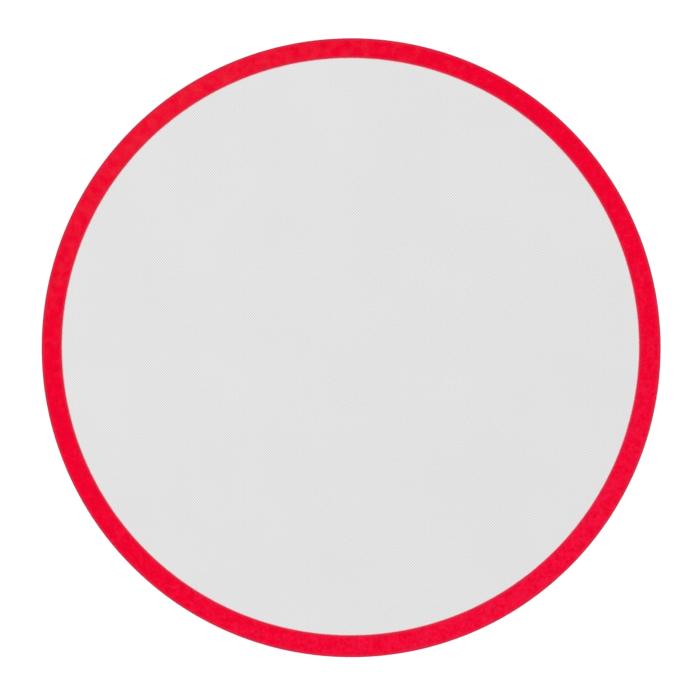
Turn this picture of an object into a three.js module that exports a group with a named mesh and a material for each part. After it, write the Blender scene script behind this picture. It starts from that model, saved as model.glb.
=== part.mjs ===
// Round silicone pastry mat: a woven glass cloth between two silicone coats, with a red border band
// printed on its upper face and a bead of red silicone round its cut edge.
// Millimetres, +Z up. The origin is the middle of the underside, where the mat lies on a tray.

import * as THREE from 'three';

// Driving dimensions in the plane of the mat
const MAT_DIAMETER = 305;
const BORDER_WIDTH = 10;
const EDGE_SEAL_WIDTH = 0.6;

// The print sits a little off the mat's middle, so the band is narrower at the upper left.
const PRINT_SHIFT_X = -0.33;
const PRINT_SHIFT_Y = 0.55;

// Driving thicknesses of the layers, from the tray up
const BOTTOM_COAT_THICKNESS = 0.2;
const CLOTH_THICKNESS = 0.3;
const TOP_COAT_THICKNESS = 0.2;
const BAND_THICKNESS = 0.1;

// The bead stays clear of the tray, so the mat lies on its lower coat.
const EDGE_SEAL_LIFT = 0.1;

// Clearance left for the bond between the cut edge and the bead
const BOND_CLEARANCE = 0.05;

// Facets round the circle, a multiple of four so that the mat's full width falls on X and Y
const ROUND_STEPS = 192;
const BEAD_ARC_STEPS = 10;

// Levels of the faces where the layers meet
const TRAY_LEVEL = 0;
const CLOTH_UNDERSIDE = TRAY_LEVEL + BOTTOM_COAT_THICKNESS;
const CLOTH_UPPER_FACE = CLOTH_UNDERSIDE + CLOTH_THICKNESS;
const WORK_FACE = CLOTH_UPPER_FACE + TOP_COAT_THICKNESS;
const BAND_FACE = WORK_FACE + BAND_THICKNESS;

// Radii
const MAT_RADIUS = MAT_DIAMETER / 2;
const FIELD_RADIUS = MAT_RADIUS - BORDER_WIDTH;
const BEAD_INNER_RADIUS = MAT_RADIUS - EDGE_SEAL_WIDTH;
const CUT_RADIUS = BEAD_INNER_RADIUS - BOND_CLEARANCE;

// Widest circle about the mat's middle that the band leaves open, inside the flats of its facets
const FIELD_FLATS_RADIUS = FIELD_RADIUS * Math.cos(Math.PI / ROUND_STEPS);
const OPEN_RADIUS = FIELD_FLATS_RADIUS - Math.hypot(PRINT_SHIFT_X, PRINT_SHIFT_Y);

// Finishes
const PALE_SILICONE = { color: 0xe2e2e2, roughness: 0.55, metalness: 0 };
const GLASS_YARN = { color: 0xe6e6e2, roughness: 0.7, metalness: 0 };
const RED_SILICONE = { color: 0xee0d35, roughness: 0.5, metalness: 0 };

/** Turns a profile of (radius, height) points about the mat's upright axis. */
function revolve(profile) {
  const geometry = new THREE.LatheGeometry(profile, ROUND_STEPS);
  return geometry.rotateX(Math.PI / 2);
}

/** One full layer of the laminate, cut round, between two levels. Rings divide its upper face. */
function layer(bottom, top, ...rings) {
  const lowerFace = [0, CUT_RADIUS].map((radius) => new THREE.Vector2(radius, bottom));
  const upperFace = [CUT_RADIUS, ...rings, 0].map((radius) => new THREE.Vector2(radius, top));
  return revolve([...lowerFace, ...upperFace]);
}

/** The printed band: a flat ring whose opening, the pale field, is off centre by the print's shift. */
function borderBand() {
  const outline = new THREE.Shape();
  outline.absarc(0, 0, CUT_RADIUS, 0, 2 * Math.PI, false);
  const field = new THREE.Path();
  field.absarc(PRINT_SHIFT_X, PRINT_SHIFT_Y, FIELD_RADIUS, 0, 2 * Math.PI, true);
  outline.holes.push(field);
  // A full circle gets two points for each of these segments.
  const curveSegments = ROUND_STEPS / 2;
  return new THREE.ExtrudeGeometry(outline, {
    depth: BAND_THICKNESS,
    bevelEnabled: false,
    curveSegments,
  });
}

/** The bead: upright where it meets the cut edge, and half an ellipse on its free side. */
function edgeSeal() {
  const bottom = TRAY_LEVEL + EDGE_SEAL_LIFT;
  const halfHeight = (BAND_FACE - bottom) / 2;
  const freeSide = new THREE.EllipseCurve(
    BEAD_INNER_RADIUS,
    bottom + halfHeight,
    EDGE_SEAL_WIDTH,
    halfHeight,
    -Math.PI / 2,
    Math.PI / 2,
  );
  const profile = freeSide.getPoints(BEAD_ARC_STEPS);
  profile.push(profile[0].clone());
  return revolve(profile);
}

/** A named sub-part with a material of its own. */
function piece(name, geometry, finish) {
  const mesh = new THREE.Mesh(geometry, new THREE.MeshStandardMaterial(finish));
  mesh.name = name;
  return mesh;
}

const mat = new THREE.Group();
mat.name = 'pastry_mat';

mat.add(piece('bottom_silicone_coat', layer(TRAY_LEVEL, CLOTH_UNDERSIDE), PALE_SILICONE));
mat.add(piece('glass_cloth', layer(CLOTH_UNDERSIDE, CLOTH_UPPER_FACE), GLASS_YARN));
// The ring ends the open work face short of the band that lies on the coat.
const topCoat = layer(CLOTH_UPPER_FACE, WORK_FACE, OPEN_RADIUS);
mat.add(piece('top_silicone_coat', topCoat, PALE_SILICONE));

const band = piece('border_band', borderBand(), RED_SILICONE);
band.position.z = WORK_FACE;
mat.add(band);

mat.add(piece('edge_seal', edgeSeal(), RED_SILICONE));

export default mat;
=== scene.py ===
"""Looks of a round silicone pastry mat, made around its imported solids.

The mat is a plain-woven glass cloth between two coats of pale silicone. A red silicone band is printed
round the edge of the upper face, a little off centre, and a bead of the same red seals the cut rim.
Everything is in metres, +Z up, with the origin in the middle of the underside.
"""

from __future__ import annotations

import logging
import math
from abc import ABC, abstractmethod
from dataclasses import dataclass
from enum import Enum
from typing import Any, Union

import bpy
import numpy as np
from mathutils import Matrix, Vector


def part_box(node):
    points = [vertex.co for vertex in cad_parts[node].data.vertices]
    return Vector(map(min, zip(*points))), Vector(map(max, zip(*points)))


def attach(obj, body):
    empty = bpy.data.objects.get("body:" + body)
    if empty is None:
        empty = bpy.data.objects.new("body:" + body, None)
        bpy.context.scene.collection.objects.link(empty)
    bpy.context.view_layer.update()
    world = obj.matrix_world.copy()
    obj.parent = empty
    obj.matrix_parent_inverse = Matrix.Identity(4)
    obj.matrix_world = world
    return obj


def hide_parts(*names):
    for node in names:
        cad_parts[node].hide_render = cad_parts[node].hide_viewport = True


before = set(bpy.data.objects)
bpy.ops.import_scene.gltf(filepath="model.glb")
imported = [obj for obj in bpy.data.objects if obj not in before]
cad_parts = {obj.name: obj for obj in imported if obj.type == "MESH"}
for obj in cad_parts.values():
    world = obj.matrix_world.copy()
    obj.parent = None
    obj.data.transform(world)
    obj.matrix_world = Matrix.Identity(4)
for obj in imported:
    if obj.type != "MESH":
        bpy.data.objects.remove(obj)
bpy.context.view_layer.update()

LOG = logging.getLogger("pastry_mat")
BODY = "root"
MM = 0.001
SILICONE_IOR = 1.41

# Columns of faces round the mat, and the angle past which an edge between faces stays crisp
COLUMNS = 384
CRISP_EDGE = math.radians(40)

# The flat map of each piece: the share of the square that the shown face fills, and the small ring in a
# corner of the square that takes the faces hidden in a bond
MAP_NAME = "OFBake"
MAP_FILL = 0.998
CORNER_MIDDLE = 0.075
CORNER_INNER = 0.03
CORNER_OUTER = 0.07

# How far the red ink has crept into the band's opening while it cured
INK_BLEED = 0.9 * MM

# Points of the band that lie this far or more inside its outer edge are on its opening
OPENING_MARGIN = 0.5 * MM

# White, as light and as clear glass, and the lack of light
CLEAR = (1.0, 1.0, 1.0)
DARK = (0.0, 0.0, 0.0)

# Sockets of a Mix node that blends colours
MIX_FIRST = 6
MIX_SECOND = 7
MIX_RESULT = 2

Colour = tuple[float, float, float]
Place = tuple[float, float]
Port = Union[int, str]
Operand = Union["Signal", float]
Tint = Union["Signal", Colour]


class Lumps(Enum):
    """How uneven noise is: the number of finer layers of noise that are laid over it."""

    SMOOTH = 0.0
    LUMPY = 1.0
    MOTTLED = 2.0
    CLOUDY = 5.0


@dataclass(frozen=True)
class Signal:
    """A node's output that takes part in Python arithmetic: each operator adds one Math node.

    Attributes:
        bench: the bench that the node is on.
        maker: the node.
        output: its output, by name or number.
    """

    bench: Bench
    maker: bpy.types.Node
    output: Port

    def socket(self) -> bpy.types.NodeSocket:
        """The wrapped socket."""
        return self.maker.outputs[self.output]

    def __add__(self, other: Operand) -> Signal:
        """This value plus another."""
        return self.bench.math("ADD", self, other)

    def __radd__(self, other: Operand) -> Signal:
        """Another value plus this one."""
        return self.bench.math("ADD", other, self)

    def __sub__(self, other: Operand) -> Signal:
        """This value less another."""
        return self.bench.math("SUBTRACT", self, other)

    def __rsub__(self, other: Operand) -> Signal:
        """Another value less this one."""
        return self.bench.math("SUBTRACT", other, self)

    def __mul__(self, other: Operand) -> Signal:
        """This value times another."""
        return self.bench.math("MULTIPLY", self, other)

    def __rmul__(self, other: Operand) -> Signal:
        """Another value times this one."""
        return self.bench.math("MULTIPLY", other, self)

    def __truediv__(self, other: Operand) -> Signal:
        """This value divided by another."""
        return self.bench.math("DIVIDE", self, other)

    def __rtruediv__(self, other: Operand) -> Signal:
        """Another value divided by this one."""
        return self.bench.math("DIVIDE", other, self)

    def cosine(self) -> Signal:
        """The cosine of this value in radians."""
        return self.bench.math("COSINE", self)


def opaque(colour: Tint) -> Any:
    """A colour as a Mix node takes it, with its fourth number."""
    return colour if isinstance(colour, Signal) else (*colour, 1.0)


class Bench:
    """The node tree of one material or world, with short ways to add nodes to it."""

    def __init__(self, tree: bpy.types.NodeTree) -> None:
        """Takes over a tree and clears it."""
        tree.nodes.clear()
        self.tree = tree

    def node(
        self, kind: str, settings: dict[str, Any], sockets: dict[Port, Any], output: Port = 0
    ) -> Signal:
        """Adds any node.

        Args:
            kind: the node's type.
            settings: the node's own properties, which are set first.
            sockets: a value or a Signal for each input that is filled, by name or number.
            output: the output that is wanted, by name or number.

        Returns:
            The wanted output.
        """
        made = self.tree.nodes.new(kind)
        for setting, choice in settings.items():
            setattr(made, setting, choice)
        for entry, value in sockets.items():
            if isinstance(value, Signal):
                self.tree.links.new(value.socket(), made.inputs[entry])
            else:
                made.inputs[entry].default_value = value
        return Signal(self, made, output)

    def math(self, operation: str, *values: Operand) -> Signal:
        """Adds one Math node on one or two values."""
        return self.node("ShaderNodeMath", {"operation": operation}, dict(enumerate(values)))

    def place(self) -> Signal:
        """The point on the mat, in metres."""
        return self.node("ShaderNodeTexCoord", {}, {}, "Object")

    def plan(self) -> tuple[Signal, Signal]:
        """The point's X and Y, in metres."""
        x = self.node("ShaderNodeSeparateXYZ", {}, {"Vector": self.place()}, "X")
        return x, Signal(self, x.maker, "Y")

    def along(self, bearing: float) -> Signal:
        """Measures how far the point lies from the mat's axis in one direction.

        Args:
            bearing: the direction, in degrees from +X.

        Returns:
            The distance in metres, negative on the far side of the axis.
        """
        x, y = self.plan()
        turn = math.radians(bearing)
        return x * math.cos(turn) + y * math.sin(turn)

    def clouds(self, size: float, lumps: Lumps = Lumps.SMOOTH) -> Signal:
        """Adds noise over the plan.

        Args:
            size: about how wide one lump is, in metres.
            lumps: how uneven it is.

        Returns:
            The noise, from about -1 to 1, about zero.
        """
        sockets = {"Vector": self.place(), "Scale": 1 / size, "Detail": lumps.value}
        noise = self.node("ShaderNodeTexNoise", {"noise_dimensions": "2D"}, sockets)
        return noise * 2 - 1

    def each(self, number: Signal) -> Signal:
        """Smooth noise along a count, from about -1 to 1, so that each yarn has a tone of its own."""
        sockets = {"W": number, "Scale": 1.0, "Detail": Lumps.SMOOTH.value}
        return self.node("ShaderNodeTexNoise", {"noise_dimensions": "1D"}, sockets) * 2 - 1

    def step(self, value: Signal, start: float, end: float) -> Signal:
        """A smooth step that rises from 0 at start to 1 at end, and stays there."""
        sockets = {"Value": value, "From Min": start, "From Max": end, "To Min": 0.0, "To Max": 1.0}
        return self.node("ShaderNodeMapRange", {"interpolation_type": "SMOOTHSTEP"}, sockets)

    def mix(self, share: Operand, first: Tint, second: Tint) -> Signal:
        """Goes from the first colour to the second as the share goes from 0 to 1."""
        sockets = {"Factor": share, MIX_FIRST: opaque(first), MIX_SECOND: opaque(second)}
        return self.node("ShaderNodeMix", {"data_type": "RGBA", "clamp_factor": True}, sockets, MIX_RESULT)

    def brighten(self, colour: Tint, factor: Signal) -> Signal:
        """Scales a colour by a factor near 1."""
        return self.node("ShaderNodeVectorMath", {"operation": "SCALE"}, {0: colour, "Scale": factor})

    def looked_at(self) -> Signal:
        """Tells what is looked at, straight, in a reflection or through glass, from what only gives light.

        Returns:
            1 for a ray that looks at the surface, and 0 for one that gathers light.
        """
        camera_ray = self.node("ShaderNodeLightPath", {}, {}, "Is Camera Ray")
        glossy_ray = Signal(self, camera_ray.maker, "Is Glossy Ray")
        through_ray = Signal(self, camera_ray.maker, "Is Transmission Ray")
        return self.math("MINIMUM", camera_ray + glossy_ray + through_ray, 1.0)

    def from_axis(self, middle: Place) -> Signal:
        """Measures the distance from an upright axis.

        Args:
            middle: where the axis stands on the plan.

        Returns:
            The distance in metres.
        """
        x, y = self.plan()
        flat = self.node("ShaderNodeCombineXYZ", {}, {"X": x, "Y": y})
        ends = {0: flat, 1: (*middle, 0.0)}
        return self.node("ShaderNodeVectorMath", {"operation": "DISTANCE"}, ends, "Value")

    def skin(self, colour: Signal, roughness: Signal, relief: Signal, depth: float, gloss: float) -> None:
        """Ends a material in one silicone or glass skin.

        Args:
            colour: base colour over the surface.
            roughness: roughness over the surface.
            relief: height of the surface, in depths.
            depth: one step of relief, in metres.
            gloss: specular level of the skin.
        """
        normal = self.node("ShaderNodeBump", {}, {"Strength": 1.0, "Distance": depth, "Height": relief})
        sockets = {
            "Base Color": colour,
            "Roughness": roughness,
            "Normal": normal,
            "IOR": SILICONE_IOR,
            "Specular IOR Level": gloss,
        }
        skin = self.node("ShaderNodeBsdfPrincipled", {}, sockets)
        self.node("ShaderNodeOutputMaterial", {}, {"Surface": skin})


def new_material(name: str) -> tuple[bpy.types.Material, Bench]:
    """Makes an empty material.

    Args:
        name: name of the material.

    Returns:
        The material, and the bench for its nodes.
    """
    material = bpy.data.materials.new(name)
    material.use_nodes = True
    return material, Bench(material.node_tree)


@dataclass(frozen=True)
class PlainWeave:
    """The cloth's plain weave: each warp yarn goes over one weft yarn and under the next.

    Attributes:
        warp_pitch: distance between warp yarns, which run along Y.
        weft_pitch: distance between weft yarns, which run along X.
        skew: how far a weft yarn drops for each unit along X.
        stray: how far a yarn strays from its line.
        stray_length: the length over which it strays.
    """

    warp_pitch: float = 0.658 * MM
    weft_pitch: float = 0.685 * MM
    skew: float = 0.0189
    stray: float = 0.2 * MM
    stray_length: float = 14 * MM

    def counts(self, bench: Bench) -> tuple[Signal, Signal]:
        """Counts the yarns across the mat.

        Formula: the warp count is X over the warp pitch and the weft count is Y, made level by the skew,
        over the weft pitch. Both get the same slow noise, so that the yarns wander a little.

        Args:
            bench: the material that the counts are for.

        Returns:
            The warp count and the weft count, whole numbers at the middle of each yarn.
        """
        x, y = bench.plan()
        stray = bench.clouds(self.stray_length) * self.stray
        return (x + stray) / self.warp_pitch, (y + x * self.skew + stray) / self.weft_pitch

    def crossings(self, warp: Signal, weft: Signal) -> Signal:
        """Checker of the weave: 1 where a warp yarn lies on top, -1 where a weft yarn does."""
        return (warp * math.pi).cosine() * (weft * math.pi).cosine()


@dataclass(frozen=True)
class ShowThrough:
    """The printed band seen faintly through the cloth from below.

    Attributes:
        middle: middle of the band's opening.
        radius: radius of the band's opening.
        tint: colour of the coat where the band lies behind it.
        softness: width over which the tint fades in.
    """

    middle: Place
    radius: float
    tint: Colour = (0.74, 0.42, 0.42)
    softness: float = 1.6 * MM


@dataclass(frozen=True)
class WovenSilicone:
    """Pale silicone with the woven cloth showing through it.

    Attributes:
        tone: colour of the coated cloth.
        warm_tone: colour of its slightly warmer patches.
        warm_share: mean share of the way from the tone to the warm tone.
        crossing_contrast: how far the crossings lighten and darken the tone.
        yarn_contrast: how far single yarns do.
        patch_contrast: how far broad patches do.
        patch_size: width of the broad patches.
        veil: how far an uneven coat dims the weave or bares it.
        veil_size: width of the coat's thick and thin spots.
        roughness: mean roughness.
        crossing_polish: how much smoother the crossings are.
        patch_roughness: how much rougher the broad patches are.
        relief: height of the weave in the coat.
        gloss: specular level.
    """

    tone: Colour = (0.7435, 0.7415, 0.745)
    warm_tone: Colour = (0.7435, 0.7415, 0.742)
    warm_share: float = 0.5
    crossing_contrast: float = 0.146
    yarn_contrast: float = 0.012
    patch_contrast: float = 0.018
    patch_size: float = 45 * MM
    veil: float = 1.8
    veil_size: float = 4.5 * MM
    roughness: float = 0.48
    crossing_polish: float = 0.05
    patch_roughness: float = 0.06
    relief: float = 0.012 * MM
    gloss: float = 0.3

    def dress(self, name: str, weave: PlainWeave, behind: Union[ShowThrough, None]) -> bpy.types.Material:
        """Makes the material.

        Args:
            name: name of the material.
            weave: the weave that shows.
            behind: the band that shows through from the other side, if any.

        Returns:
            The material.
        """
        material, bench = new_material(name)
        warp, weft = weave.counts(bench)
        bared = 1.0 + bench.clouds(self.veil_size, Lumps.LUMPY) * self.veil
        crossings = weave.crossings(warp, weft) * bared
        yarns = bench.each(warp) + bench.each(weft)
        patches = bench.clouds(self.patch_size, Lumps.CLOUDY)
        tone = bench.mix(self.warm_share + patches, self.tone, self.warm_tone)
        if behind is not None:
            inset = bench.from_axis(behind.middle) - behind.radius
            tone = bench.mix(bench.step(inset, 0.0, behind.softness), tone, behind.tint)
        shade = crossings * self.crossing_contrast + yarns * self.yarn_contrast
        colour = bench.brighten(tone, 1.0 + shade + patches * self.patch_contrast)
        roughness = self.roughness - crossings * self.crossing_polish + patches * self.patch_roughness
        bench.skin(colour, roughness, crossings, self.relief, self.gloss)
        return material


@dataclass(frozen=True)
class RedSilicone:
    """Red silicone: cloudy, with milky specks and a fine grain, and painted shade along both edges.

    Attributes:
        deep: colour where the silicone is thick.
        bright: colour where it is thin and milky.
        warm: colour that it leans to where the pigment is warmer.
        milkiness: share of the way from the deep colour to the bright one before the lean and the noise.
        thin_bearing: direction in which it gets thinner, in degrees from +X.
        thin_lean: how far it goes between the two colours from the middle to the rim in that direction.
        light_lean: how much lighter it gets from the middle to the rim in that direction.
        warmth: share of the way to the warm colour before the lean and the noise. A sum below 0 is none.
        warm_bearing: direction in which it gets warmer, in degrees from +X.
        warm_lean: how far it goes to the warm colour from the middle to the rim in that direction.
        fleck_size: width of small warm flecks.
        fleck_share: how far the flecks go to the warm colour.
        cloud_size: width of the mottling.
        cloud_share: how far the mottling goes between the two colours.
        speck_size: width of the milky specks.
        speck_share: how far the specks go between the two colours.
        tone_size: width of lighter and darker spots.
        tone_contrast: how far the spots lighten and darken the colour.
        grain_size: width of the fine grain.
        grain_contrast: how far the grain lightens and darkens the colour.
        edge: darker colour painted as shade on the bead's round side and on the ink's edge at the opening.
        rim_shade_share: how far it goes to that painted shade at the rim.
        rim_shade_width: width over which it does so there.
        opening_shade_share: how far it goes to that painted shade at the opening.
        opening_shade_width: width over which it does so there.
        lip: colour of the thin ink at the very edge of the opening, with the pale coat behind it.
        lip_width: width over which the ink gets thick enough to hide the coat.
        bead: colour of the bead's outer edge, where light comes through it.
        bead_width: width over which it does.
        roughness: mean roughness.
        cloud_roughness: how much rougher the mottling is.
        grain_roughness: how much rougher the grain is.
        relief: height of the grain.
        weave_relief: height of the weave that prints through, as a share of the grain's height.
        gloss: specular level.
    """

    deep: Colour = (0.845, 0.0001, 0.0260)
    bright: Colour = (0.842, 0.0070, 0.0510)
    warm: Colour = (0.855, 0.0184, 0.0413)
    milkiness: float = -0.03
    thin_bearing: float = -55.0
    thin_lean: float = 0.5
    light_lean: float = 0.025
    warmth: float = -0.5
    warm_bearing: float = 128.0
    warm_lean: float = 0.9
    fleck_size: float = 5 * MM
    fleck_share: float = 0.7
    cloud_size: float = 8 * MM
    cloud_share: float = 0.6
    speck_size: float = 1.8 * MM
    speck_share: float = 0.9
    tone_size: float = 4 * MM
    tone_contrast: float = 0.12
    grain_size: float = 1.1 * MM
    grain_contrast: float = 0.19
    # Painted shade: the edge colour darkens the bead's round side and the ink's edge at the opening.
    edge: Colour = (0.575, 0.0275, 0.067)
    rim_shade_share: float = 1.0
    rim_shade_width: float = 1.4 * MM
    opening_shade_share: float = 0.83
    opening_shade_width: float = 1.03 * MM
    lip: Colour = (0.98, 0.69, 0.72)
    lip_width: float = 0.83 * MM
    bead: Colour = (0.78, 0.085, 0.12)
    bead_width: float = 0.45 * MM
    roughness: float = 0.38
    cloud_roughness: float = 0.08
    grain_roughness: float = 0.05
    relief: float = 0.010 * MM
    weave_relief: float = 0.4
    gloss: float = 0.025

    def mottled(self, bench: Bench, clouds: Signal, lean: Signal, sizes: MatSizes) -> Signal:
        """Works out the colour away from the edges.

        Formula: the sum of the mottling, the specks and the lean goes from the deep colour to the bright
        one, and the sum of the flecks and the warm lean from there to the warm one.

        Args:
            bench: the material that the colour is for.
            clouds: the mottling.
            lean: place along the direction in which the silicone gets thinner, 1 at the rim.
            sizes: sizes of the mat.

        Returns:
            The colour.
        """
        specks = bench.clouds(self.speck_size, Lumps.LUMPY)
        thin = clouds * self.cloud_share + specks * self.speck_share + lean * self.thin_lean
        colour = bench.mix(self.milkiness + thin, self.deep, self.bright)
        flecks = bench.clouds(self.fleck_size, Lumps.MOTTLED)
        warm_lean = bench.along(self.warm_bearing) * (self.warm_lean / sizes.rim_radius)
        warm = flecks * self.fleck_share + warm_lean
        return bench.mix(self.warmth + warm, colour, self.warm)

    def painted_edges(self, bench: Bench, colour: Signal, sizes: MatSizes) -> Signal:
        """Paints shade along both edges, and lightens the colour where the silicone ends.

        Args:
            bench: the material that the colour is for.
            colour: the colour away from the edges.
            sizes: sizes of the mat, for the two edges.

        Returns:
            The colour.
        """
        from_opening = bench.from_axis(sizes.opening_middle) - sizes.opening_radius
        thick = bench.step(from_opening, -INK_BLEED, self.lip_width - INK_BLEED)
        opening_shade_mask = thick * (1.0 - bench.step(from_opening, 0.0, self.opening_shade_width))
        from_rim = sizes.rim_radius - bench.from_axis((0.0, 0.0))
        bead_middle = (sizes.rim_radius - sizes.cut_radius) / 2
        rim_shade_mask = 1.0 - bench.step(from_rim, bead_middle, bead_middle + self.rim_shade_width)
        # Painted shade: the colour goes to the edge colour near the rim and the opening.
        painted_shade = bench.math("MAXIMUM", rim_shade_mask * self.rim_shade_share, opening_shade_mask * self.opening_shade_share)
        colour = bench.mix(thick, self.lip, bench.mix(painted_shade, colour, self.edge))
        return bench.mix(bench.step(from_rim, 0.0, self.bead_width), self.bead, colour)

    def dress(self, name: str, weave: PlainWeave, sizes: MatSizes) -> bpy.types.Material:
        """Makes the material.

        Args:
            name: name of the material.
            weave: the weave that prints through the silicone.
            sizes: sizes of the mat.

        Returns:
            The material.
        """
        material, bench = new_material(name)
        clouds = bench.clouds(self.cloud_size, Lumps.MOTTLED)
        tones = bench.clouds(self.tone_size, Lumps.MOTTLED)
        grain = bench.clouds(self.grain_size, Lumps.LUMPY)
        lean = bench.along(self.thin_bearing) / sizes.rim_radius
        colour = self.painted_edges(bench, self.mottled(bench, clouds, lean, sizes), sizes)
        light = 1.0 + grain * self.grain_contrast + tones * self.tone_contrast + lean * self.light_lean
        colour = bench.brighten(colour, light)
        crossings = weave.crossings(*weave.counts(bench))
        roughness = self.roughness + clouds * self.cloud_roughness + grain * self.grain_roughness
        bench.skin(colour, roughness, crossings * self.weave_relief + grain, self.relief, self.gloss)
        return material


@dataclass(frozen=True)
class GlassYarn:
    """White glass yarn, woven, as it lies inside the mat.

    Attributes:
        tone: colour of the yarns' crowns.
        gap_shade_tone: colour of the gaps between them, darker as painted shade in the recesses between the
            yarns.
        yarn_contrast: how far single yarns lighten and darken the tone.
        roughness: roughness in the gaps.
        crown_roughness: how much rougher the crowns are.
        relief: height of a crown.
        gloss: specular level.
    """

    tone: Colour = (0.84, 0.84, 0.81)
    gap_shade_tone: Colour = (0.60, 0.60, 0.57)
    yarn_contrast: float = 0.03
    roughness: float = 0.6
    crown_roughness: float = 0.08
    relief: float = 0.08 * MM
    gloss: float = 0.5

    def dress(self, name: str, weave: PlainWeave) -> bpy.types.Material:
        """Makes the material.

        Args:
            name: name of the material.
            weave: the weave of the yarns.

        Returns:
            The material.
        """
        material, bench = new_material(name)
        warp, weft = weave.counts(bench)
        crossings = weave.crossings(warp, weft)
        crowns = crossings * crossings
        yarns = bench.each(warp) + bench.each(weft)
        # Painted shade: the gaps between the crowns take the darker gap colour.
        colour = bench.mix(crowns, self.gap_shade_tone, self.tone)
        colour = bench.brighten(colour, 1.0 + yarns * self.yarn_contrast)
        roughness = self.roughness + crowns * self.crown_roughness
        bench.skin(colour, roughness, crowns, self.relief, self.gloss)
        return material


@dataclass(frozen=True)
class BondedSilicone:
    """Plain pale silicone on the faces that are cured onto another piece.

    Attributes:
        tone: mean colour.
        patch_size: width of its faint patches.
        patch_contrast: how far the patches lighten and darken the tone.
        roughness: mean roughness.
        patch_roughness: how much rougher the patches are.
        relief: height of the patches.
        gloss: specular level.
    """

    tone: Colour = (0.75, 0.75, 0.74)
    patch_size: float = 60 * MM
    patch_contrast: float = 0.02
    roughness: float = 0.6
    patch_roughness: float = 0.04
    relief: float = 0.02 * MM
    gloss: float = 0.3

    def dress(self, name: str) -> bpy.types.Material:
        """Makes the material.

        Args:
            name: name of the material.

        Returns:
            The material.
        """
        material, bench = new_material(name)
        patches = bench.clouds(self.patch_size)
        colour = bench.brighten(self.tone, 1.0 + patches * self.patch_contrast)
        roughness = self.roughness + patches * self.patch_roughness
        bench.skin(colour, roughness, patches, self.relief, self.gloss)
        return material


@dataclass(frozen=True)
class Lie:
    """How a limp sheet lies on a tray: a few broad, shallow swells that never dip below it.

    Attributes:
        height: the most that the sheet stands off the tray.
        swells: bearing in degrees, wavelength and start in turns of each swell.
    """

    height: float = 0.2 * MM
    swells: tuple[tuple[float, float, float], ...] = (
        (25.0, 210 * MM, 0.10),
        (98.0, 170 * MM, 0.55),
        (152.0, 260 * MM, 0.30),
    )

    def lift(self, x: np.ndarray, y: np.ndarray) -> np.ndarray:
        """Works out how far the sheet stands off the tray.

        Formula: the mean over the swells of half of one plus the sine of the distance along the swell in
        turns, times the height.

        Args:
            x: places along X.
            y: places along Y.

        Returns:
            The lift at each place.
        """
        lift = np.zeros(np.broadcast(x, y).shape)
        for bearing, wavelength, start in self.swells:
            along = x * math.cos(math.radians(bearing)) + y * math.sin(math.radians(bearing))
            lift += (1 + np.sin(2 * math.pi * (along / wavelength + start))) / 2
        return lift * (self.height / len(self.swells))


@dataclass(frozen=True)
class MatSizes:
    """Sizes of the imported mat.

    Attributes:
        rim_radius: radius over the bead.
        cut_radius: radius of the cut laminate.
        cloth_underside: level where the lower coat meets the cloth.
        cloth_upper_face: level where the cloth meets the upper coat.
        work_face: level of the pale work face.
        band_face: level of the printed band.
        bead_underside: lowest level of the bead.
        opening_middle: middle of the band's round opening.
        opening_radius: radius of that opening.
    """

    rim_radius: float
    cut_radius: float
    cloth_underside: float
    cloth_upper_face: float
    work_face: float
    band_face: float
    bead_underside: float
    opening_middle: Place
    opening_radius: float

    @classmethod
    def from_frame(cls) -> MatSizes:
        """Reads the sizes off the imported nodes.

        The opening is the box of the band's points that lie well inside its outer edge.

        Returns:
            The sizes.
        """
        bead_low, bead_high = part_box("edge_seal")
        cloth_low, cloth_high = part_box("glass_cloth")
        band_low, band_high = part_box("border_band")
        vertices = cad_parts["border_band"].data.vertices
        places = np.empty(len(vertices) * 3)
        vertices.foreach_get("co", places)
        plan = places.reshape(-1, 3)[:, :2]
        inner = plan[np.hypot(plan[:, 0], plan[:, 1]) < band_high.x - OPENING_MARGIN]
        low, high = inner.min(axis=0), inner.max(axis=0)
        middle = (low + high) / 2
        return cls(
            rim_radius=bead_high.x,
            cut_radius=cloth_high.x,
            cloth_underside=cloth_low.z,
            cloth_upper_face=cloth_high.z,
            work_face=band_low.z,
            band_face=band_high.z,
            bead_underside=bead_low.z,
            opening_middle=(float(middle[0]), float(middle[1])),
            opening_radius=float((high - low).mean() / 2),
        )


def bearings() -> np.ndarray:
    """Bearings of the columns round the mat, in radians."""
    return np.arange(COLUMNS) * (2 * math.pi / COLUMNS)


def carried_round(radius: np.ndarray, height: np.ndarray, lie: Lie) -> np.ndarray:
    """Carries a profile round the mat's upright axis.

    Formula: at bearing a, a row's point is (radius cos a, radius sin a, height), raised by the sheet's
    lift there.

    Args:
        radius: distance from the axis, rows by columns or rows by 1.
        height: height above the tray, in the same form.
        lie: how the sheet lies.

    Returns:
        The points, rows by columns by 3.
    """
    x = radius * np.cos(bearings())
    y = radius * np.sin(bearings())
    return np.stack([x, y, height + lie.lift(x, y)], axis=-1)


def corners(table: np.ndarray) -> np.ndarray:
    """The four corners of each cell of a grid, anticlockwise seen from outside, on the third axis."""
    return np.stack([table[:-1, :-1], table[:-1, 1:], table[1:, 1:], table[1:, :-1]], axis=2)


class Ends(Enum):
    """How a profile that is carried round ends."""

    POLES = "its first and last rows are single points on the axis"
    LOOP = "its last row joins its first"


class Face(Enum):
    """The face of a layer that shows."""

    UPPER = "upper"
    LOWER = "lower"


def plan_map(places: np.ndarray, rim_radius: float, face: Face) -> np.ndarray:
    """Maps points flat as they are seen from above, or from below mirrored left to right.

    Args:
        places: the points, rows by columns by 3.
        rim_radius: radius that fills the square.
        face: the face that is seen.

    Returns:
        The map, rows by columns plus 1 by 2.
    """
    mirror = 1.0 if face is Face.UPPER else -1.0
    plan = np.concatenate([places, places[:, :1]], axis=1)[..., :2]
    return 0.5 + plan * np.array([mirror, 1.0]) * (MAP_FILL / (2 * rim_radius))


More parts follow.
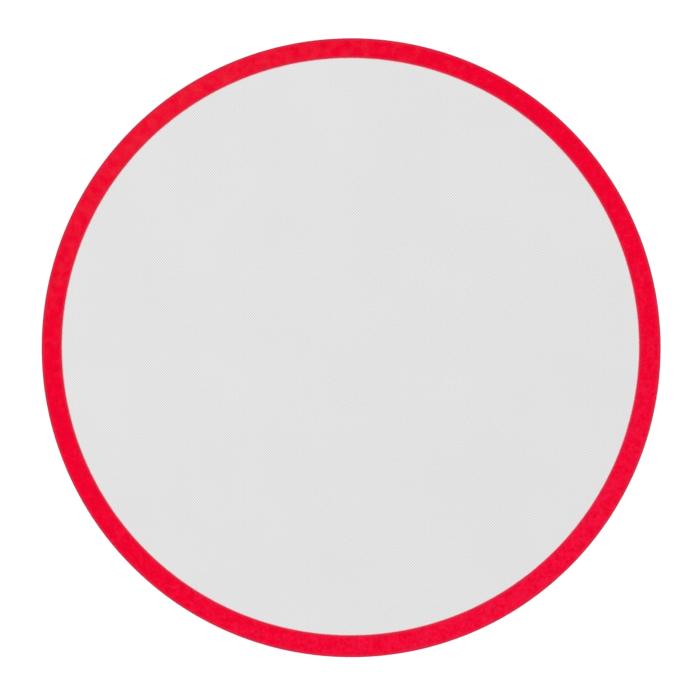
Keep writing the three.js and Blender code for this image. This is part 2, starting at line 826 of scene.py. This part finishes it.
@dataclass(frozen=True)
class RoundSkin:
    """A closed surface on a grid of rows, along a profile, and columns, round the mat.

    Attributes:
        places: its points, rows by columns by 3.
        ends: how the profile ends.
        shown: for each strip between two rows, whether it shows.
        seen_map: flat map of the points for the strips that show, with the first column repeated.
    """

    places: np.ndarray
    ends: Ends
    shown: np.ndarray
    seen_map: np.ndarray

    def hidden_map(self) -> np.ndarray:
        """Maps the hidden strips to a small ring in a corner of the square.

        Formula: the ring's radius grows evenly with the row, at the column's own bearing.

        Returns:
            The map, in the form of seen_map.
        """
        rows = self.seen_map.shape[0]
        bearing = np.append(bearings(), 2 * math.pi)
        radius = np.linspace(CORNER_INNER, CORNER_OUTER, rows)[:, None]
        ring = np.stack([radius * np.cos(bearing), radius * np.sin(bearing)], axis=-1)
        return ring + CORNER_MIDDLE

    def cells(self) -> tuple[np.ndarray, np.ndarray]:
        """Numbers the points and finds the cells between them.

        Returns:
            The points, one row each, and the point numbers at the corners of every cell.
        """
        rows, columns = self.places.shape[:2]
        if self.ends is Ends.POLES:
            inner = rows - 2
            points = np.concatenate(
                [self.places[:1, 0], self.places[1:-1].reshape(-1, 3), self.places[-1:, 0]]
            )
            number = np.zeros((rows, columns), dtype=int)
            number[1:-1] = 1 + np.arange(inner * columns).reshape(inner, columns)
            number[-1] = 1 + inner * columns
        else:
            points = self.places.reshape(-1, 3)
            number = np.arange(rows * columns).reshape(rows, columns)
            number = np.concatenate([number, number[:1]])
        return points, corners(np.concatenate([number, number[:, :1]], axis=1))

    def strip_order(self) -> np.ndarray:
        """The strips in the order of the mesh's faces: the two at the poles come last."""
        strips = np.arange(len(self.shown))
        return np.roll(strips, -1) if self.ends is Ends.POLES else strips

    def make(self, name: str) -> bpy.types.Mesh:
        """Puts the surface into a mesh with its flat map.

        Args:
            name: name of the mesh.

        Returns:
            The mesh.
        """
        points, cells = self.cells()
        chart = np.where(self.shown[:, None, None, None], corners(self.seen_map), corners(self.hidden_map()))
        order = self.strip_order()
        cells, chart = cells[order], chart[order]
        caps, cap_chart = np.empty((0, 3), dtype=int), np.empty((0, 2))
        if self.ends is Ends.POLES:
            # At a pole two corners of a cell are the same point, so the cell is a triangle.
            caps = np.concatenate([cells[-2][:, [0, 1, 2]], cells[-1][:, [0, 2, 3]]])
            cap_chart = np.concatenate([chart[-2][:, [0, 1, 2]], chart[-1][:, [0, 2, 3]]]).reshape(-1, 2)
            cells, chart = cells[:-2], chart[:-2]
        mesh = bpy.data.meshes.new(name)
        mesh.from_pydata(points.tolist(), [], cells.reshape(-1, 4).tolist() + caps.tolist())
        flat_map = np.concatenate([chart.reshape(-1, 2), cap_chart])
        mesh.uv_layers.new(name=MAP_NAME).uv.foreach_set("vector", flat_map.ravel())
        mesh.polygons.foreach_set("use_smooth", np.ones(len(mesh.polygons), dtype=bool))
        mesh.set_sharp_from_angle(angle=CRISP_EDGE)
        return mesh

    def dress(self, mesh: bpy.types.Mesh, finishes: tuple[bpy.types.Material, ...]) -> None:
        """Gives the strips that show the first finish, and the hidden ones the last.

        Args:
            mesh: the mesh that was made of this surface.
            finishes: its one or two finishes.
        """
        for finish in finishes:
            mesh.materials.append(finish)
        finish_of_strip = np.where(self.shown, 0, len(finishes) - 1)[self.strip_order()]
        mesh.polygons.foreach_set("material_index", np.repeat(finish_of_strip, COLUMNS))
        mesh.update()


@dataclass
class RoundPiece(ABC):
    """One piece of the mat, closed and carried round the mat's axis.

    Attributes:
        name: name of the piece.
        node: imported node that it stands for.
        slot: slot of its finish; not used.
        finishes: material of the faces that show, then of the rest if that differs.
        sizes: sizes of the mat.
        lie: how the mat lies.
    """

    name: str
    node: str
    slot: str
    finishes: tuple[bpy.types.Material, ...]
    sizes: MatSizes
    lie: Lie

    @abstractmethod
    def skin(self) -> RoundSkin:
        """The piece's surface."""

    def build(self) -> bpy.types.Object:
        """Builds and dresses the piece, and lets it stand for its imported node.

        Returns:
            The piece, at the origin.
        """
        skin = self.skin()
        mesh = skin.make(self.name)
        skin.dress(mesh, self.finishes)
        piece = bpy.data.objects.new(self.name, mesh)
        bpy.context.scene.collection.objects.link(piece)
        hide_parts(self.node)
        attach(piece, BODY)
        LOG.info("%s stands for %s, with %d faces", self.name, self.node, len(mesh.polygons))
        return piece


@dataclass
class Layer(RoundPiece):
    """One full layer of the laminate, cut round.

    Attributes:
        low: level of its lower face.
        high: level of its upper face.
        face: the face that shows.
        rests_on: what the layer lies on; not used.
        rings: rings of faces between the middle and the cut edge.
    """

    low: float
    high: float
    face: Face
    rests_on: str
    rings: int = 40

    def skin(self) -> RoundSkin:
        """Works out the layer's surface.

        Formula: a profile that goes from the axis out along the lower face, up the cut edge and back to
        the axis along the upper face, carried round.

        Returns:
            The surface.
        """
        outward = np.linspace(0, self.sizes.cut_radius, self.rings + 1)
        radius = np.concatenate([outward, outward[::-1]])[:, None]
        height = np.repeat([self.low, self.high], self.rings + 1)[:, None]
        places = carried_round(radius, height, self.lie)
        strip = np.arange(len(radius) - 1)
        shown = strip > self.rings if self.face is Face.UPPER else strip < self.rings
        return RoundSkin(places, Ends.POLES, shown, plan_map(places, self.sizes.rim_radius, self.face))

    def build(self) -> bpy.types.Object:
        """Returns:
            The layer.
        """
        piece = super().build()
        return piece


@dataclass
class PrintedBand(RoundPiece):
    """The red band printed round the upper face, with its opening off centre.

    Attributes:
        edge_run: width over which the ink rises from the work face at the opening.
        ridge: how far the ink stands up beside that edge.
        ridge_width: width of that ridge.
        edge_rows: rows of faces over the edge and its ridge.
        flat_rows: rows of faces over the rest of the band.
    """

    edge_run: float = 0.4 * MM
    ridge: float = 0.02 * MM
    ridge_width: float = 1.2 * MM
    edge_rows: int = 14
    flat_rows: int = 8

    def opening(self) -> np.ndarray:
        """Finds how far the opening's edge lies from the mat's axis.

        Formula: along the ray at bearing a, the distance to a circle about another middle is the middle's
        part along the ray plus the root of the radius squared less the middle's part across it squared.

        Returns:
            The distance at each column.
        """
        middle_x, middle_y = self.sizes.opening_middle
        along = middle_x * np.cos(bearings()) + middle_y * np.sin(bearings())
        across = middle_x * np.sin(bearings()) - middle_y * np.cos(bearings())
        return along + np.sqrt((self.sizes.opening_radius - INK_BLEED) ** 2 - across**2)

    def rise(self, inset: np.ndarray) -> np.ndarray:
        """Works out the height of the ink over the work face.

        Formula: a quarter of an ellipse up to the full thickness, plus a half sine wave for the ridge.

        Args:
            inset: distance from the opening's edge.

        Returns:
            The height at each distance.
        """
        thickness = self.sizes.band_face - self.sizes.work_face
        climb = np.clip(1 - inset / self.edge_run, 0, 1)
        wave = np.sin(math.pi * np.clip(inset / self.ridge_width, 0, 1))
        return thickness * np.sqrt(1 - climb**2) + self.ridge * wave

    def skin(self) -> RoundSkin:
        """Works out the band's surface.

        Formula: a profile that goes out along the underside from the opening to the cut edge, up that
        edge, and back along the top and down the soft edge of the opening, carried round.

        Returns:
            The surface.
        """
        opening = self.opening()
        width = self.sizes.cut_radius - opening
        share = np.linspace(0, 1, self.flat_rows + 1)[1:, None]
        edge = self.ridge_width * (1 - np.cos(np.linspace(0, math.pi / 2, self.edge_rows + 1)))
        edge_inset = edge[:, None] * np.ones(COLUMNS)
        flat_inset = self.ridge_width + share * (width - self.ridge_width)
        top_inset = np.concatenate([edge_inset, flat_inset])[::-1]
        under_inset = share * width
        inset = np.concatenate([under_inset, top_inset])
        height = np.concatenate([np.zeros_like(under_inset), self.rise(top_inset)])
        places = carried_round(opening + inset, self.sizes.work_face + height, self.lie)
        strip = np.arange(len(places))
        shown = (strip >= self.flat_rows) & (strip < len(places) - 1)
        seen_map = plan_map(np.concatenate([places, places[:1]]), self.sizes.rim_radius, Face.UPPER)
        return RoundSkin(places, Ends.LOOP, shown, seen_map)


@dataclass
class RimBead(RoundPiece):
    """The bead of red silicone that seals the cut edge.

    Attributes:
        unevenness: how far the bead's width varies, inwards from the full radius.
        waves: slow and quick waves of that unevenness round the rim.
        arc_rows: rows of faces over its round side.
    """

    unevenness: float = 0.05 * MM
    waves: tuple[int, ...] = (5, 17, 41)
    arc_rows: int = 20

    def skin(self) -> RoundSkin:
        """Works out the bead's surface.

        Formula: half an ellipse, from the foot of the cut edge out to the rim and back to its top, with a
        straight back, carried round. Its width varies by a few sine waves round the rim. Its flat map is
        the bearing by the place along the profile.

        Returns:
            The surface.
        """
        turn = np.linspace(-math.pi / 2, math.pi / 2, self.arc_rows + 1)[:, None]
        wobble = sum((1 + np.sin(bearings() * count + count)) / 2 for count in self.waves) / len(self.waves)
        width = self.sizes.rim_radius - self.sizes.cut_radius - self.unevenness * wobble
        middle = (self.sizes.band_face + self.sizes.bead_underside) / 2
        half_height = (self.sizes.band_face - self.sizes.bead_underside) / 2
        radius = self.sizes.cut_radius + width * np.cos(turn)
        height = middle + half_height * np.sin(turn) * np.ones(COLUMNS)
        places = carried_round(radius, height, self.lie)
        along = np.linspace(0, 1, len(places) + 1)
        row, column = np.meshgrid(along, np.linspace(0, 1, COLUMNS + 1), indexing="ij")
        shown = np.ones(len(places), dtype=bool)
        return RoundSkin(places, Ends.LOOP, shown, np.stack([column, row], axis=-1))


@dataclass
class Studio:
    """White floor, soft light from four sides and a camera straight above the mat.

    Attributes:
        sizes: sizes of the mat.
        frame_pixels: width of the picture.
        rim_pixels: radius of the mat in the picture.
        middle_pixels: the mat's middle in the picture, right and down from its corner.
        lens_mm: focal length of the camera.
        sensor_mm: width of its sensor.
        floor_gap: distance of the floor under the mat.
        floor_size: side of the floor.
        floor_tone: the floor's own colour.
        floor_glow: light that the floor adds where it is looked at.
        lamp_rise: height of the lamps over the horizon, in degrees.
        lamp_turn: bearing of the first lamp from +X, in degrees.
        lamp_distance: distance of the lamps from the mat's middle.
        lamp_width: side of each square lamp.
        lamp_watts: power of the lamps, a quarter turn apart; more comes from the upper left.
        room_light: light that the room above the horizon gives, where white is 1.
        horizon: heights on the sphere of directions between which the light from below gives way to it.
    """

    sizes: MatSizes
    frame_pixels: float = 700.0
    rim_pixels: float = 309.64
    middle_pixels: Place = (351.13, 347.74)
    lens_mm: float = 85.0
    sensor_mm: float = 36.0
    floor_gap: float = 0.05 * MM
    floor_size: float = 60.0
    floor_tone: Colour = (0.75, 0.75, 0.75)
    floor_glow: float = 0.45
    lamp_rise: float = 40.0
    lamp_turn: float = 20.0
    lamp_distance: float = 1.2
    lamp_width: float = 0.5
    lamp_watts: tuple[float, float, float, float] = (0.94, 1.65, 1.49, 0.79)
    room_light: float = 0.815
    horizon: tuple[float, float] = (-0.1, 0.1)

    def set_camera(self) -> None:
        """Hangs the camera over the mat, so that the rim and the middle fall on their pixels."""
        data = bpy.data.cameras.new("photo_camera")
        data.lens = self.lens_mm
        data.sensor_width = self.sensor_mm
        camera = bpy.data.objects.new("photo_camera", data)
        bpy.context.scene.collection.objects.link(camera)
        metres_per_pixel = self.sizes.rim_radius / self.rim_pixels
        rim_level = (self.sizes.band_face + self.sizes.bead_underside) / 2
        distance = metres_per_pixel * self.frame_pixels * self.lens_mm / self.sensor_mm
        right = self.middle_pixels[0] - self.frame_pixels / 2
        down = self.middle_pixels[1] - self.frame_pixels / 2
        camera.location = (-right * metres_per_pixel, down * metres_per_pixel, rim_level + distance)
        bpy.context.scene.camera = camera

    def lay_floor(self) -> None:
        """Lays a floor that looks white, keeps the mat's shadow and is clear from below."""
        half = self.floor_size / 2
        mesh = bpy.data.meshes.new("floor")
        square = [(-half, -half), (half, -half), (half, half), (-half, half)]
        mesh.from_pydata([(x, y, -self.floor_gap) for x, y in square], [], [(0, 1, 2, 3)])
        material, bench = new_material("white_floor")
        matt = bench.node("ShaderNodeBsdfDiffuse", {}, {"Color": opaque(self.floor_tone)})
        shine = bench.mix(bench.looked_at(), DARK, CLEAR)
        glow = bench.node("ShaderNodeEmission", {}, {"Color": shine, "Strength": self.floor_glow})
        front = bench.node("ShaderNodeAddShader", {}, {0: matt, 1: glow})
        clear = bench.node("ShaderNodeBsdfTransparent", {}, {"Color": opaque(CLEAR)})
        from_below = bench.node("ShaderNodeNewGeometry", {}, {}, "Backfacing")
        both = bench.node("ShaderNodeMixShader", {}, {0: from_below, 1: front, 2: clear})
        bench.node("ShaderNodeOutputMaterial", {}, {"Surface": both})
        mesh.materials.append(material)
        floor = bpy.data.objects.new("floor", mesh)
        bpy.context.scene.collection.objects.link(floor)
        # Light from below the horizon reaches the underside, which other views look at.
        floor.visible_diffuse = False
        floor.visible_shadow = False

    def hang_lamps(self) -> None:
        """Hangs four soft lamps round the mat, a quarter turn apart."""
        tilt = math.radians(90.0 - self.lamp_rise)
        out, up = self.lamp_distance * math.sin(tilt), self.lamp_distance * math.cos(tilt)
        for quarter, watts in enumerate(self.lamp_watts):
            data = bpy.data.lights.new(f"soft_lamp_{quarter + 1}", "AREA")
            data.size = self.lamp_width
            data.energy = watts
            lamp = bpy.data.objects.new(data.name, data)
            bearing = math.radians(self.lamp_turn + 90.0 * quarter)
            lamp.location = (out * math.cos(bearing), out * math.sin(bearing), up)
            lamp.rotation_euler = (tilt, 0.0, bearing + math.pi / 2)
            lamp.visible_camera = False
            bpy.context.scene.collection.objects.link(lamp)

    def light_room(self) -> None:
        """Lights the room evenly, and makes it white wherever it is looked at."""
        world = bpy.data.worlds.new("room")
        world.use_nodes = True
        bpy.context.scene.world = world
        bench = Bench(world.node_tree)
        direction = bench.node("ShaderNodeTexCoord", {}, {}, "Generated")
        upward = bench.node("ShaderNodeSeparateXYZ", {}, {"Vector": direction}, "Z")
        light = 1.0 - bench.step(upward, *self.horizon) * (1.0 - self.room_light)
        brightness = bench.math("MAXIMUM", light, bench.looked_at())
        glow = bench.node("ShaderNodeBackground", {}, {"Color": bench.mix(brightness, DARK, CLEAR)})
        bench.node("ShaderNodeOutputWorld", {}, {"Surface": glow})

    def set_picture(self) -> None:
        """Keeps colours as they are written, and keeps the weave."""
        bpy.context.scene.view_settings.view_transform = "Standard"
        # The weave is about a pixel fine, so a denoiser that smooths its guides first would wipe it out.
        bpy.context.scene.cycles.denoising_prefilter = "NONE"


def main() -> None:
    """Builds the mat from the tray up, then the studio around it."""
    logging.basicConfig(level=logging.INFO, format="%(name)s: %(message)s")
    sizes = MatSizes.from_frame()
    lie = Lie()
    weave = PlainWeave()
    studio = Studio(sizes)
    studio.set_camera()

    silicone = WovenSilicone()
    behind = ShowThrough(sizes.opening_middle, sizes.opening_radius)
    work_finish = silicone.dress("work_face_silicone", weave, None)
    under_finish = silicone.dress("underside_silicone", weave, behind)
    bonded_finish = BondedSilicone().dress("bonded_silicone")
    cloth_finish = GlassYarn().dress("glass_yarn", weave)
    red_finish = RedSilicone().dress("red_silicone", weave, sizes)

    pieces = (
        Layer(
            name="lower_coat",
            node="bottom_silicone_coat",
            slot="pale_silicone",
            finishes=(under_finish, bonded_finish),
            sizes=sizes,
            lie=lie,
            low=0.0,
            high=sizes.cloth_underside,
            face=Face.LOWER,
            rests_on="tray",
        ),
        Layer(
            name="woven_core",
            node="glass_cloth",
            slot="glass_cloth",
            finishes=(cloth_finish,),
            sizes=sizes,
            lie=lie,
            low=sizes.cloth_underside,
            high=sizes.cloth_upper_face,
            face=Face.UPPER,
            rests_on="lower_coat",
        ),
        Layer(
            name="work_coat",
            node="top_silicone_coat",
            slot="pale_silicone",
            finishes=(work_finish, bonded_finish),
            sizes=sizes,
            lie=lie,
            low=sizes.cloth_upper_face,
            high=sizes.work_face,
            face=Face.UPPER,
            rests_on="woven_core",
        ),
        PrintedBand("printed_band", "border_band", "red_silicone", (red_finish,), sizes, lie),
        RimBead("rim_bead", "edge_seal", "red_silicone", (red_finish,), sizes, lie),
    )
    for piece in pieces:
        piece.build()

    studio.lay_floor()
    studio.hang_lamps()
    studio.light_room()
    studio.set_picture()


if __name__ == "__main__":
    main()
